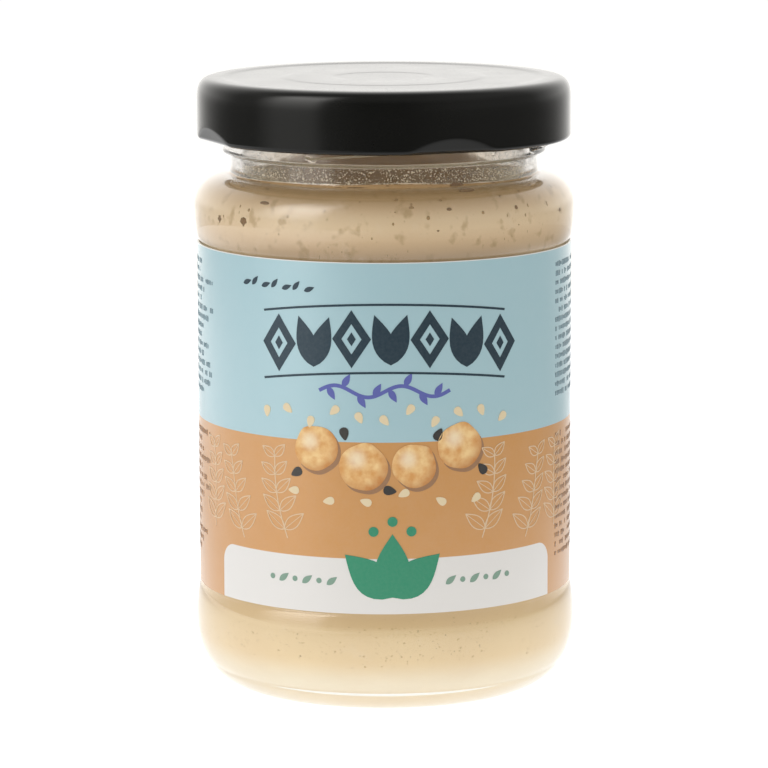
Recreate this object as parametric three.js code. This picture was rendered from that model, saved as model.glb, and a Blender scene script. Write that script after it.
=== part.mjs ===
// A shut glass jar of hummus: the jar, its twist-off lid, the dip inside and the paper label round it.
// Millimetres, +Z up. The origin is the centre of the base, on the surface that the jar stands on.
// The front is -Y, and angles round the jar run from the front towards +X, in degrees.

import * as THREE from 'three';

// Driving dimensions

const SEGMENTS = 64;             // facets round every turned piece, so that neighbours' facets line up
const FIT_GAP = 0.3;             // clearance between pieces that touch
const DEG = Math.PI / 180;
const TOUCH = 0.01;              // how near a point lies to a surface that it counts as being on

// Jar, outside
const PANEL_R = 30.2;            // recessed panel that carries the label
const BULGE_R = 31.07;           // contact bands above and below the panel
const HEEL_TOP_Z = 11.0;         // where the heel curve reaches the lower contact band
const PANEL_BOTTOM_Z = 16.6;
const PANEL_TOP_Z = 73.3;
const BULGE_Z = 79.2;            // middle of the upper contact band
const BEARING_OUTER_R = 22.8;    // flat ring that the jar stands on
const BEARING_INNER_R = 20.4;
const PUSH_UP = 2.6;             // height of the hollow under the base at its centre
const HEEL_POWER = 0.92;         // 1 is an ellipse, less is squarer
const SHOULDER_R = 25.5;         // centre of the shoulder's convex curve
const SHOULDER_RISE = 4.85;
const SHOULDER_TURN = 88;        // how far the convex curve runs before the neck's fillet
const NECK_R = 25.1;
const NECK_FILLET_Z = 84.9;      // top of the fillet between shoulder and neck
const NECK_TOP_Z = 87.05;        // where the neck turns out into the ledge under the screw finish
const LEDGE_ROUND = 0.35;        // radius of the ledge's inner and outer corner
const LEDGE_TURN = 74;           // how far each of those corners turns
const FINISH_R = 26.4;           // wall between ledge and rim
const FINISH_Z = 87.95;
const RIM_Z = 98.2;
const RIM_OUTER_R = 26.0;
const RIM_ROUND = 1.2;

// Jar, inside
const BORE_R = 28.1;             // body
const FLOOR_CORNER_R = 20.6;     // where the floor meets the inner heel
const FLOOR_Z = 5.0;
const FLOOR_CROWN = 1.3;         // how much the floor rises at its centre, over the push-up
const INNER_HEEL_Z = 14.5;
const INNER_SHOULDER_Z = 77.7;
const INNER_SHOULDER_R = 24.6;
const INNER_SHOULDER_TOP_Z = 81.8;
const MOUTH_R = 23.1;
const MOUTH_Z = 83.9;            // bottom of the straight mouth

// Screw thread of the finish: four short right-hand starts
const STARTS = 4;
const THREAD_R = 27.8;
const THREAD_LOW_DEG = -29;      // low end of the first start
const THREAD_SPAN_DEG = 74;
const THREAD_LOW_Z = 89.2;       // middle of the ridge at its low end
const THREAD_CLIMB = 2.9;
const THREAD_FOOT = 0.95;        // half height of a ridge where it meets the wall
const THREAD_CREST = 0.5;        // share of that half height that is flat crest
const THREAD_TIP = 2.4;          // length of the round tip at each end of a ridge
const THREAD_ROWS = [-1, -0.75, -0.5, 0.5, 0.75, 1];   // outline rows over a ridge, as shares of its foot

// Lid
const LID_R = 30.36;
const LID_BOTTOM_Z = 89.7;
const LID_TOP_Z = 99.6;
const LID_WALL = 0.55;
const LID_EDGE_RUN = 3.3;        // width and height of the rounded edge between top and skirt
const LID_EDGE_DROP = 4.2;
const LID_EDGE_POWER = 0.58;     // 1 is an ellipse, less is squarer
const CURL_HEIGHT = 1.7;         // rolled edge at the bottom of the skirt
const CURL_DEPTH = 1.5;
const CHANNEL_R = 25.6;          // inner edge of the raised ring over the glass rim
const CHANNEL_RUN = 2.2;         // width of the step up to it
const PANEL_DROP = 0.16;         // lid panel below that ring
const BUTTON_RING_R = 16.2;      // outer step of the safety button
const BUTTON_RISE = 0.08;
const BUTTON_R = 8.0;            // inner step of the safety button
const STEP_RUN = 1.6;            // width of each other step, measured along the radius
const SEAL_STEP_R = 22.1;        // step of the ceiling, just inside the glass rim
const CEILING_TURN = 1.2;        // run and drop of the corner between skirt and ceiling, inside
const LUGS = 4;
const LUG_CENTRE_DEG = 21.5;
const LUG_HALF_DEG = 15;
const LUG_HEIGHT = 2.5;          // top of the arch over the middle of a lug
const LUG_ROW = 0.72;            // share of that height where the skirt has one more outline row
const LUG_SLOPE = 0.45;          // how far a lug is pressed in, for each millimetre below its arch

// Dip
const FILL_Z = 84.25;            // mean level where the dip meets the glass
const FILL_TILT = 0.95;          // how much higher than that it lies at the back, and lower at the front
const CROWN = 0.5;               // how much higher its middle lies
const CROWN_ROWS = [0, 0.3, 0.6, 0.85];      // outline rows over its top, as shares of its radius
const EDGE_DEPTH = 0.3;          // least height of its upright edge over the mouth's curve
const RIPPLES = [                // [turns round the jar, height, phase in degrees]
  [2, 0.95, 90],
  [3, 0.12, 100],
  [5, 0.10, 10],
  [8, 0.06, 70],
];

// Label
const LABEL_INNER_R = PANEL_R + 0.1;
const LABEL_R = 30.5;
const LABEL_BOTTOM_Z = 16.9;
const LABEL_TOP_Z = 73.0;
const LABEL_SEAM_FACETS = 2;     // bare glass between the label's ends, at the back

// Points of an ellipse about (r, z), with angles from +r towards +z. A power under 1 makes it squarer.
function arc(r, z, reachR, reachZ, fromDeg, toDeg, steps, power = 1) {
  const points = [];
  for (let i = 0; i <= steps; i += 1) {
    const angle = (fromDeg + ((toDeg - fromDeg) * i) / steps) * DEG;
    const across = Math.cos(angle);
    const up = Math.sin(angle);
    points.push(new THREE.Vector2(
      r + reachR * Math.sign(across) * Math.abs(across) ** power,
      z + reachZ * Math.sign(up) * Math.abs(up) ** power,
    ));
  }
  return points;
}

function point(r, z) {
  return [new THREE.Vector2(Math.max(r, 0), z)];
}

// A closed solid turned about the vertical axis. Its outline runs out from the axis, up and back in.
function turned(outline, place = null) {
  const points = outline.flat();
  const geometry = new THREE.LatheGeometry(points, SEGMENTS);
  geometry.rotateX(Math.PI / 2);
  if (place) {
    reshape(geometry, place);
  }
  return geometry;
}

// Moves every point by a rule on its radius, height and angle from the front.
function reshape(geometry, place) {
  const position = geometry.attributes.position;
  for (let i = 0; i < position.count; i += 1) {
    const x = position.getX(i);
    const y = position.getY(i);
    const angle = Math.atan2(x, -y);
    const moved = place(Math.hypot(x, y), position.getZ(i), angle / DEG);
    position.setXYZ(i, moved.r * Math.sin(angle), -moved.r * Math.cos(angle), moved.z);
  }
  geometry.computeVertexNormals();
}

// 0 below the first value, 1 above the second, smooth between.
function ease(low, high, value) {
  return THREE.MathUtils.smoothstep(value, low, high);
}

// Degrees from the nearest of several places spread evenly round the jar, from -180/count to 180/count.
function fromNearest(deg, firstDeg, count) {
  const pitch = 360 / count;
  return THREE.MathUtils.euclideanModulo(deg - firstDeg + pitch / 2, pitch) - pitch / 2;
}

// Degrees past the low end of the nearest thread start below this angle.
function pastLowEnd(deg) {
  return THREE.MathUtils.euclideanModulo(deg - THREAD_LOW_DEG, 360 / STARTS);
}

// How far the thread stands out of its wall at an angle, and offset above or below the ridge's middle.
function threadHeight(deg, offset) {
  const run = pastLowEnd(deg) * DEG * FINISH_R;
  const length = THREAD_SPAN_DEG * DEG * FINISH_R;
  const intoTip = Math.max(THREAD_TIP - run, run - length + THREAD_TIP, 0);
  const fromCrest = Math.hypot(offset / THREAD_FOOT, intoTip / THREAD_TIP);
  return (THREAD_R - FINISH_R) * (1 - ease(THREAD_CREST, 1, fromCrest));
}

function threadMiddle(deg) {
  return THREAD_LOW_Z + THREAD_CLIMB * Math.min(pastLowEnd(deg) / THREAD_SPAN_DEG, 1);
}

// Outline rows of the thread, modelled at the low end's height and slid up its climb by threadOnWall.
function threadRows() {
  return THREAD_ROWS.map((share) => new THREE.Vector2(FINISH_R, THREAD_LOW_Z + share * THREAD_FOOT));
}

function threadOnWall(r, z, deg) {
  const offset = z - THREAD_LOW_Z;
  const onWall = Math.abs(r - FINISH_R) < TOUCH && Math.abs(offset) < THREAD_FOOT + TOUCH;
  if (!onWall) {
    return { r, z };
  }
  return { r: r + threadHeight(deg, offset), z: threadMiddle(deg) + offset };
}

function jarOutside() {
  const convex = SHOULDER_TURN * DEG;
  const convexEndR = SHOULDER_R + (BULGE_R - SHOULDER_R) * Math.cos(convex);
  const convexEndZ = BULGE_Z + SHOULDER_RISE * Math.sin(convex);
  const filletRun = convexEndR - NECK_R;
  const filletRise = NECK_FILLET_Z - convexEndZ;
  return [
    arc(0, 0, BEARING_INNER_R, PUSH_UP, 90, 0, 3),
    arc(BEARING_OUTER_R, HEEL_TOP_Z, BULGE_R - BEARING_OUTER_R, HEEL_TOP_Z, -90, 0, 7, HEEL_POWER),
    arc(PANEL_R, HEEL_TOP_Z, BULGE_R - PANEL_R, PANEL_BOTTOM_Z - HEEL_TOP_Z, 0, 90, 3).slice(1),
    arc(PANEL_R, BULGE_Z, BULGE_R - PANEL_R, BULGE_Z - PANEL_TOP_Z, -90, 0, 3),
    arc(SHOULDER_R, BULGE_Z, BULGE_R - SHOULDER_R, SHOULDER_RISE, 0, SHOULDER_TURN, 5).slice(1),
    arc(convexEndR, NECK_FILLET_Z, filletRun, filletRise, 270, 180, 3).slice(1),
    arc(NECK_R + LEDGE_ROUND, NECK_TOP_Z, LEDGE_ROUND, LEDGE_ROUND, 180, 180 - LEDGE_TURN, 2),
    arc(FINISH_R - LEDGE_ROUND, FINISH_Z, LEDGE_ROUND, LEDGE_ROUND, -LEDGE_TURN, 0, 2),
  ].flat();
}

function jarRim() {
  const roundZ = RIM_Z - RIM_ROUND;
  return [
    arc(RIM_OUTER_R - RIM_ROUND, roundZ, RIM_ROUND, RIM_ROUND, 0, 90, 2),
    arc(MOUTH_R + RIM_ROUND, roundZ, RIM_ROUND, RIM_ROUND, 90, 180, 2),
  ].flat();
}

// The inside below the mouth, down to the floor's centre, drawn in by inset. It's the dip's outside too.
function jarInside(inset) {
  const reach = BORE_R - inset - INNER_SHOULDER_R;
  const rise = INNER_SHOULDER_TOP_Z - inset - INNER_SHOULDER_Z;
  const floor = FLOOR_Z + inset;
  return [
    arc(INNER_SHOULDER_R, INNER_SHOULDER_Z, reach, rise, SHOULDER_TURN, 0, 3),
    arc(FLOOR_CORNER_R, INNER_HEEL_Z, BORE_R - inset - FLOOR_CORNER_R, INNER_HEEL_Z - floor, 0, -90, 4),
    arc(0, floor, FLOOR_CORNER_R, FLOOR_CROWN, 60, 90, 2),
  ].flat();
}

// Where the inner shoulder turns up into the mouth.
function shoulderEnd() {
  const convex = SHOULDER_TURN * DEG;
  return {
    r: INNER_SHOULDER_R + (BORE_R - INNER_SHOULDER_R) * Math.cos(convex),
    z: INNER_SHOULDER_Z + (INNER_SHOULDER_TOP_Z - INNER_SHOULDER_Z) * Math.sin(convex),
  };
}

function jarMouth() {
  const end = shoulderEnd();
  return arc(end.r, MOUTH_Z, end.r - MOUTH_R, MOUTH_Z - end.z, 180, 270, 3).slice(0, -1);
}

// The dip's side where it follows the curve between mouth and inner shoulder, the fit gap inside it.
function sideCurve() {
  const end = shoulderEnd();
  return {
    r: end.r,
    z: MOUTH_Z,
    reach: end.r - MOUTH_R + FIT_GAP,
    rise: MOUTH_Z - end.z + FIT_GAP,
  };
}

function sideRadius(z) {
  const curve = sideCurve();
  const down = THREE.MathUtils.clamp((curve.z - z) / curve.rise, 0, 1);
  return curve.r - curve.reach * Math.sqrt(1 - down * down);
}

function jar() {
  const outline = [jarOutside(), threadRows(), jarRim(), jarMouth(), jarInside(0)];
  const geometry = turned(outline, threadOnWall);
  const glass = new THREE.MeshStandardMaterial({
    color: 0xdfe6e2,
    roughness: 0.05,
    metalness: 0,
    transparent: true,
    opacity: 0.35,
  });
  return part('jar', geometry, glass);
}

// A shallow step between two heights, centred on radius r.
function step(r, innerZ, outerZ, run = STEP_RUN) {
  return [
    new THREE.Vector2(r - run / 2, innerZ),
    new THREE.Vector2(r + run / 2, outerZ),
  ];
}

function lidTop() {
  const panel = LID_TOP_Z - PANEL_DROP;
  const button = panel + BUTTON_RISE;
  const edgeR = LID_R - LID_EDGE_RUN;
  const edgeZ = LID_TOP_Z - LID_EDGE_DROP;
  return [
    point(0, panel),
    step(BUTTON_R, panel, button),
    step(BUTTON_RING_R, button, panel),
    step(CHANNEL_R, panel, LID_TOP_Z, CHANNEL_RUN),
    arc(edgeR, edgeZ, LID_EDGE_RUN, LID_EDGE_DROP, 90, 0, 6, LID_EDGE_POWER),
  ].flat();
}

function lidSkirt() {
  const curlR = LID_R - CURL_DEPTH / 2;
  const curlZ = LID_BOTTOM_Z + CURL_HEIGHT / 2;
  return [
    point(LID_R, LID_BOTTOM_Z + LUG_HEIGHT),
    point(LID_R, LID_BOTTOM_Z + LUG_HEIGHT * LUG_ROW),
    arc(curlR, curlZ, CURL_DEPTH / 2, CURL_HEIGHT / 2, 0, -180, 4),
    point(LID_R - LID_WALL, LID_BOTTOM_Z + CURL_HEIGHT),
    point(LID_R - LID_WALL, LID_BOTTOM_Z + LUG_HEIGHT),
  ].flat();
}

function lidUnderside() {
  const ceiling = RIM_Z + FIT_GAP;
  const panel = LID_TOP_Z - PANEL_DROP - LID_WALL;
  return [
    point(LID_R - LID_WALL, ceiling - CEILING_TURN),
    point(LID_R - LID_WALL - CEILING_TURN, ceiling),
    step(SEAL_STEP_R, panel, ceiling).reverse(),
    point(0, panel),
  ].flat();
}

// The skirt's foot is pressed in at the lugs, as a flat lens under a shallow arch.
function pressLugs(r, z, deg) {
  const side = fromNearest(deg, LUG_CENTRE_DEG, LUGS) / LUG_HALF_DEG;
  const arch = LID_BOTTOM_Z + LUG_HEIGHT * (1 - side * side);
  const onSkirt = r > LID_R - CURL_DEPTH - TOUCH;
  return { r: onSkirt ? r - LUG_SLOPE * Math.max(arch - z, 0) : r, z };
}

function lid() {
  const outline = [lidTop(), lidSkirt(), lidUnderside()].flat().reverse();
  const geometry = turned(outline, pressLugs);
  const lacquer = new THREE.MeshStandardMaterial({ color: 0x161616, roughness: 0.25, metalness: 0 });
  return part('lid', geometry, lacquer);
}

// Level where the dip meets the glass, at an angle round the jar.
function fillLevel(deg) {
  const waves = RIPPLES.map(([turns, height, phase]) => height * Math.sin((deg * turns + phase) * DEG));
  return FILL_Z - FILL_TILT * Math.cos(deg * DEG) + waves.reduce((sum, wave) => sum + wave, 0);
}

// The dip's outline at its mean level: a low crown, then down the mouth's curve to the inner shoulder.
function dipOutline() {
  const edge = sideRadius(FILL_Z);
  const curve = sideCurve();
  const crown = CROWN_ROWS.map(
    (share) => new THREE.Vector2(edge * share, FILL_Z + CROWN * (1 - share * share)),
  );
  const side = arc(curve.r, curve.z, curve.reach, curve.rise, 180, 270, 3).slice(0, -1);
  return [crown, point(edge, FILL_Z), side, jarInside(FIT_GAP)].flat().reverse();
}

// Raises or lowers the dip's top, and draws the rows of its side down where the level lies low.
function dipLevel(r, z, deg) {
  const curve = sideCurve();
  const foot = curve.z - curve.rise;
  const level = fillLevel(deg);
  if (z < foot + TOUCH) {
    return { r, z };
  }
  if (z < FILL_Z - TOUCH) {
    const room = (level - EDGE_DEPTH - foot) / curve.rise;
    const drawn = foot + (z - foot) * Math.min(room, 1);
    return { r: sideRadius(drawn), z: drawn };
  }
  const share = r / sideRadius(FILL_Z);
  const lifted = z + (level - FILL_Z) * share;
  return { r: share < 1 - TOUCH ? r : sideRadius(lifted), z: lifted };
}

function dip() {
  const geometry = turned(dipOutline(), dipLevel);
  const cream = new THREE.MeshStandardMaterial({ color: 0xd9bf98, roughness: 0.6, metalness: 0 });
  return part('hummus', geometry, cream);
}

// A band of paper round the label panel, open at the back between its two ends.
function label() {
  const facet = 360 / SEGMENTS;
  const half = (180 - (facet * LABEL_SEAM_FACETS) / 2) * DEG;
  const start = -Math.PI / 2 - half;
  const end = -Math.PI / 2 + half;
  const band = new THREE.Shape();
  band.absarc(0, 0, LABEL_R, start, end, false);
  band.absarc(0, 0, LABEL_INNER_R, end, start, true);
  band.closePath();
  const geometry = new THREE.ExtrudeGeometry(band, {
    depth: LABEL_TOP_Z - LABEL_BOTTOM_Z,
    bevelEnabled: false,
    curveSegments: (SEGMENTS - LABEL_SEAM_FACETS) / 2,
  });
  geometry.translate(0, 0, LABEL_BOTTOM_Z);
  const paper = new THREE.MeshStandardMaterial({ color: 0xb7c3bd, roughness: 0.5, metalness: 0 });
  return part('label', geometry, paper);
}

function part(name, geometry, material) {
  const mesh = new THREE.Mesh(geometry, material);
  mesh.name = name;
  return mesh;
}

const group = new THREE.Group();
group.add(jar(), lid(), dip(), label());

export default group;
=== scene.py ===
"""A shut glass jar of chickpea dip, with its twist-off lid and paper label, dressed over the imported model."""

import math

import bmesh
import bpy
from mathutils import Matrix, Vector, geometry, noise

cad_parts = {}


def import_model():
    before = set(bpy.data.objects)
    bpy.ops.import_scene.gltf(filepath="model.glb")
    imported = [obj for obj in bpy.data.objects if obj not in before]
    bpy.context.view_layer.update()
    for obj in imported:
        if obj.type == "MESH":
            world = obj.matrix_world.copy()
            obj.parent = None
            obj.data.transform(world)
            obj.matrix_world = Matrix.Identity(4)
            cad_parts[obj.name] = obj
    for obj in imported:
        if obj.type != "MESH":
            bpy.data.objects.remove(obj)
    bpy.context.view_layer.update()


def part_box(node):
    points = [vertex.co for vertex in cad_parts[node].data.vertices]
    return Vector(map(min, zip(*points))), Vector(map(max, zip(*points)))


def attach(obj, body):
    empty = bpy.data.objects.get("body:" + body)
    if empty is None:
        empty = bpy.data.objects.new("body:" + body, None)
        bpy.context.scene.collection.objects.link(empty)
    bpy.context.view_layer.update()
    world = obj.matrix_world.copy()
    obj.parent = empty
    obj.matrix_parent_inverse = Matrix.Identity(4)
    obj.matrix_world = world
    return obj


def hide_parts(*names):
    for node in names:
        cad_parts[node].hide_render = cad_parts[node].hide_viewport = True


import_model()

MM = 0.001
WHITE = (1.0, 1.0, 1.0, 1.0)


def reach(node):
    """A CAD node's radius, foot and top, in millimetres."""
    low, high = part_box(node)
    return high.x / MM, low.z / MM, high.z / MM


LID_R, LID_FOOT, LID_TOP = reach("lid")
LABEL_R, LABEL_FOOT, LABEL_TOP = reach("label")
JAR_R, _, RIM_Z = reach("jar")
DIP_R, _, _ = reach("hummus")

# Jar, in millimetres
AROUND = 256
GLASS_AROUND = 384
FIT_GAP = 0.3
PANEL_R = LABEL_R - 0.3
PLATE_SEAM_Z = 3.8
PLATE_SEAM_DEPTH = 0.16
PLATE_SEAM_WIDTH = 0.5
HEEL_TOP_Z = 11.0
PANEL_BOTTOM_Z = 16.6
PANEL_TOP_Z = 73.3
BULGE_Z = 79.2
BEARING_R = (20.4, 22.8)
PUSH_UP = 2.6
HEEL_POWER = 0.92
SHOULDER_R = 25.5
SHOULDER_RISE = 4.85
SHOULDER_TURN = 88
NECK_R = 25.1
NECK_FILLET_Z = 84.9
NECK_TOP_Z = 87.05
LEDGE_ROUND = 0.35
LEDGE_TURN = 74
FINISH_R = 26.4
FINISH_Z = 87.95
RIM_OUTER_R = 26.0
RIM_ROUND = 1.2
BORE_R = DIP_R + FIT_GAP
FLOOR_CORNER_R = 20.6
FLOOR_Z = 5.0
FLOOR_CROWN = 1.3
INNER_HEEL_Z = 14.5
INNER_SHOULDER_Z = 77.7
INNER_SHOULDER_R = 24.6
INNER_SHOULDER_TOP_Z = 81.8
MOUTH_R = 23.1
MOUTH_Z = 83.9

# Thread
STARTS = 4
THREAD_R = 27.8
THREAD_LOW_DEG = -29
THREAD_SPAN_DEG = 74
THREAD_LOW_Z = 89.2
THREAD_CLIMB = 2.9
THREAD_FOOT = 0.95
THREAD_TIP = 2.4

# Lid
LID_WALL = 0.35
EDGE_RUN = 3.3
EDGE_DROP = 4.2
EDGE_POWER = 0.58
CURL = 1.5
CHANNEL_R = 25.6
CHANNEL_RUN = 2.2
PANEL_DROP = 0.16
BUTTON_RING_R = 16.2
BUTTON_RISE = 0.08
BUTTON_R = 8.0
LUGS = 4
LUG_CENTRE_DEG = 21.5
LUG_HALF_DEG = 15
LUG_HEIGHT = 2.5
LUG_SLOPE = 0.45
LUG_SOFT = 0.18
LUG_END = 0.12

# Dip
FILL_Z = 84.25
FILL_TILT = 0.95
CROWN = 0.5
RIPPLES = ((2, 0.95, 90), (3, 0.12, 100), (5, 0.10, 10), (8, 0.06, 70))
INTO_WALL = 0.15
FOG = 0.08
STRETCH = 0.7
KNURLS = 72

# Label
SEAM_DEG = 5.6
PAPER = 0.22
HORIZON_Z = 44.5
STRIP_TOP_Z = 25.8
STRIP_HALF = 31.4
STRIP_MIDDLE = 0.3
STRIP_CORNER = 3.0
INK = 0.03
LAP = 0.004
VARNISH_IOR = 1.7
WRAP_STEP = 1.2
BRANCHES = ((16.2, 28.4, 0.25), (24.6, 27.4, 0.5), (33.0, 28.0, 0.2))
BLOCK_THICK = 0.05
VINE_V = 52.6
SPRIG_U = 1.2
SPRIG_V = 19.6
BERRY_V = 29.6
BERRIES = ((-3.0, 0.6), (3.0, 0.6), (0.0, 2.2))
STRIP_MARK_V = 22.0
UPPER_SEEDS_V = 48.6
LOWER_SEEDS_V = 35.4
DARK_SEEDS = ((-14.5, 39.2), (-6.4, 45.8), (0.8, 36.8), (8.6, 45.6), (16.2, 39.6))
SMALL_MARK_V = 68.6
TITLE_V = 61.0
TITLE_SAG = 0.004
TITLE_RULES_V = (55.6, 66.4)
TITLE_RULE_HALF = 20.5
PEAS = ((-11.0, 43.2, 3.7), (-3.4, 40.4, 3.9), (4.6, 40.6, 3.6), (12.2, 43.4, 3.8))


# Outlines


def arc(r, z, reach_r, reach_z, start, end, steps, power=1.0):
    """Points of an ellipse about (r, z), with angles in degrees from +r towards +z.

    A power under 1 makes it squarer.
    """
    points = []
    for i in range(steps + 1):
        angle = math.radians(start + (end - start) * i / steps)
        across, up = math.cos(angle), math.sin(angle)
        points.append(
            (
                r + reach_r * math.copysign(abs(across) ** power, across),
                z + reach_z * math.copysign(abs(up) ** power, up),
            )
        )
    return points


def ease(low, high, value):
    """0 below low, 1 above high, smooth between."""
    share = min(max((value - low) / (high - low), 0.0), 1.0)
    return share * share * (3 - 2 * share)


def from_nearest(deg, first, count):
    """Degrees from the nearest of several places spread evenly round the jar."""
    pitch = 360 / count
    return (deg - first + pitch / 2) % pitch - pitch / 2


def on_cylinder(r, deg, z):
    """A point in metres, from a radius and height in millimetres and degrees from the front towards +X."""
    angle = math.radians(deg)
    return (r * math.sin(angle) * MM, -r * math.cos(angle) * MM, z * MM)


def added(name, data):
    """A new object in the scene, from its mesh, light or camera."""
    thing = bpy.data.objects.new(name, data)
    bpy.context.scene.collection.objects.link(thing)
    return thing


def mesh_piece(name, verts, faces, sharp=40):
    mesh = bpy.data.meshes.new(name)
    mesh.from_pydata(verts, [], faces)
    mesh.update()
    mesh.shade_smooth()
    mesh.set_sharp_from_angle(angle=math.radians(sharp))
    return added(name, mesh)


def turned(name, outline, place=None, around=AROUND, sharp=40):
    """A closed piece turned about the vertical axis. The outline runs out from the axis, up and back in."""
    verts, faces, rows = [], [], []
    for r, z in outline:
        degs = [0] if r < 1e-6 else [360 * i / around for i in range(around)]
        rows.append(range(len(verts), len(verts) + len(degs)))
        for deg in degs:
            moved = place(r, z, deg) if place else (r, z)
            verts.append(on_cylinder(moved[0], deg, moved[1]))
    for low, high in zip(rows, rows[1:]):
        for i in range(around):
            j = (i + 1) % around
            corners = [low[i % len(low)], low[j % len(low)], high[j % len(high)], high[i % len(high)]]
            faces.append(list(dict.fromkeys(corners)))
    return mesh_piece(name, verts, faces, sharp)


def dress(piece, material, slot, *nodes):
    piece.data.materials.clear()
    piece.data.materials.append(material)
    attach(piece, "root")
    if nodes:
        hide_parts(*nodes)
    return piece


# Shaders


class Wire:
    """A node's output that takes part in sums, so that a mask or a size is written as an expression."""

    def __init__(self, nodes, socket):
        self.nodes = nodes
        self.socket = socket

    def maths(self, operation, *values):
        return self.nodes.node("Math", dict(enumerate(values)), operation=operation)

    def __add__(self, other):
        return self.maths("ADD", self, other)

    def __sub__(self, other):
        return self.maths("SUBTRACT", self, other)

    def __rsub__(self, other):
        return self.maths("SUBTRACT", other, self)

    def __mul__(self, other):
        return self.maths("MULTIPLY", self, other)

    def __truediv__(self, other):
        return self.maths("DIVIDE", self, other)

    def high(self, other):
        return self.maths("MAXIMUM", self, other)

    def low(self, other):
        return self.maths("MINIMUM", self, other)

    def root(self):
        return self.maths("SQRT", self)

    def size(self):
        return self.maths("ABSOLUTE", self)

    def sine(self):
        return self.maths("SINE", self)

    def cosine(self):
        return self.maths("COSINE", self)

    def floor(self):
        return self.maths("FLOOR", self)

    def degrees(self):
        return self.maths("DEGREES", self)

    def radians(self):
        return self.maths("RADIANS", self)

    __radd__ = __add__
    __rmul__ = __mul__


class Nodes:
    """A node tree that is written as expressions."""

    def node(self, kind, links=None, out=0, **settings):
        """Adds a node of this kind. Its settings come first, then the values or links of its sockets."""
        node = self.tree.nodes.new(kind if kind.startswith(("Geometry", "Function")) else "ShaderNode" + kind)
        for name, value in settings.items():
            setattr(node, name, value)
        for name, value in (links or {}).items():
            socket = node.inputs[name]
            if isinstance(value, Wire):
                self.tree.links.new(value.socket, socket)
            else:
                socket.default_value = value
        return Wire(self, node.outputs[out])

    def split(self, vector):
        return [self.node("SeparateXYZ", {0: vector}, out=axis) for axis in "XYZ"]


class Finish(Nodes):
    """One material, or the world."""

    def __init__(self, name, owner=None):
        self.owner = owner or bpy.data.materials.new(name)
        self.owner.use_nodes = True
        self.tree = self.owner.node_tree
        self.tree.nodes.clear()

    def place(self):
        """The point being shaded, in metres, in the object's own frame."""
        return self.node("TexCoord", out="Object")

    def radius(self):
        x, y, _ = self.split(self.place())
        return (x * x + y * y).root()

    def height(self):
        return self.split(self.place())[2]

    def noise(self, size, detail=3.0, roughness=0.5, seed=0.0):
        """Cloudy noise from 0 to 1 whose lumps are about this many millimetres across."""
        return self.node(
            "TexNoise",
            {
                "Vector": self.place(),
                "W": seed,
                "Scale": 1 / (size * MM),
                "Detail": detail,
                "Roughness": roughness,
            },
            noise_dimensions="4D",
        )

    def mix(self, share, first, second):
        """A colour between two, by a share from 0 to 1."""
        return self.node("Mix", {0: share, 6: first, 7: second}, out=2, data_type="RGBA")

    def band(self, value, low, high, blend="LINEAR"):
        """0 below low, 1 above high."""
        ends = {"Value": value, "From Min": low, "From Max": high}
        return self.node("MapRange", ends, interpolation_type=blend)

    def bump(self, height, depth, strength=1.0):
        """A normal from a height between 0 and 1, this many millimetres deep."""
        return self.node("Bump", {"Height": height, "Distance": depth * MM, "Strength": strength})

    def surface(self, links):
        return self.node("BsdfPrincipled", links)

    def output(self, shader, kind="OutputMaterial"):
        end = self.tree.nodes.new("ShaderNode" + kind)
        self.tree.links.new(shader.socket, end.inputs["Surface"])
        return self.owner


class Growth(Nodes):
    """A Geometry Nodes tree with named inputs, which becomes a plain mesh."""

    def __init__(self, name, **sizes):
        self.name = name
        self.tree = bpy.data.node_groups.new(name, "GeometryNodeTree")
        self.tree.interface.new_socket("Mesh", in_out="OUTPUT", socket_type="NodeSocketGeometry")
        self.sizes = {}
        for label, value in sizes.items():
            kind = "NodeSocketInt" if isinstance(value, int) else "NodeSocketFloat"
            socket = self.tree.interface.new_socket(label, in_out="INPUT", socket_type=kind)
            self.sizes[label] = (socket.identifier, value)
        self.entry = self.tree.nodes.new("NodeGroupInput")

    def given(self, label):
        return Wire(self, self.entry.outputs[label])

    def draw(self, low, high, seed):
        """A number between two, drawn for each point."""
        return self.node("FunctionNodeRandomValue", {2: low, 3: high, "Seed": seed}, out=1)

    def vector(self, x, y, z):
        return self.node("CombineXYZ", {0: x, 1: y, 2: z})

    def round_jar(self, r, angle, z):
        """A place on a cylinder, from an angle in radians from the front towards +X."""
        return self.vector(angle.sine() * r, angle.cosine() * r * -1, z)

    def even_turn(self, count):
        """Angles in radians that share out the circle."""
        return self.node("GeometryNodeInputIndex") * (2 * math.pi) / count

    def planted(self, count, place, shape, angle, scale, chosen=True):
        """Copies of a shape, each turned to face outwards."""
        points = self.node("GeometryNodePoints", {"Count": count, "Position": place})
        return self.node(
            "GeometryNodeInstanceOnPoints",
            {
                "Points": points,
                "Selection": chosen,
                "Instance": shape,
                "Rotation": self.vector(0.0, 0.0, angle),
                "Scale": scale,
            },
        )

    def grown(self, instances, material):
        """Ends the tree, and returns what it makes as an object with a plain mesh."""
        real = self.node("GeometryNodeRealizeInstances", {0: instances})
        smooth = self.node("GeometryNodeSetShadeSmooth", {0: real})
        done = self.node("GeometryNodeSetMaterial", {0: smooth, "Material": material})
        end = self.tree.nodes.new("NodeGroupOutput")
        self.tree.links.new(done.socket, end.inputs[0])
        carrier = mesh_piece(self.name, [(0, 0, 0)], [])
        modifier = carrier.modifiers.new(self.name, "NODES")
        modifier.node_group = self.tree
        for identifier, value in self.sizes.values():
            modifier[identifier] = value
        seen = carrier.evaluated_get(bpy.context.evaluated_depsgraph_get())
        mesh = bpy.data.meshes.new_from_object(seen)
        carrier.modifiers.remove(modifier)
        carrier.data = mesh
        mesh.name = self.name
        return carrier


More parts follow.
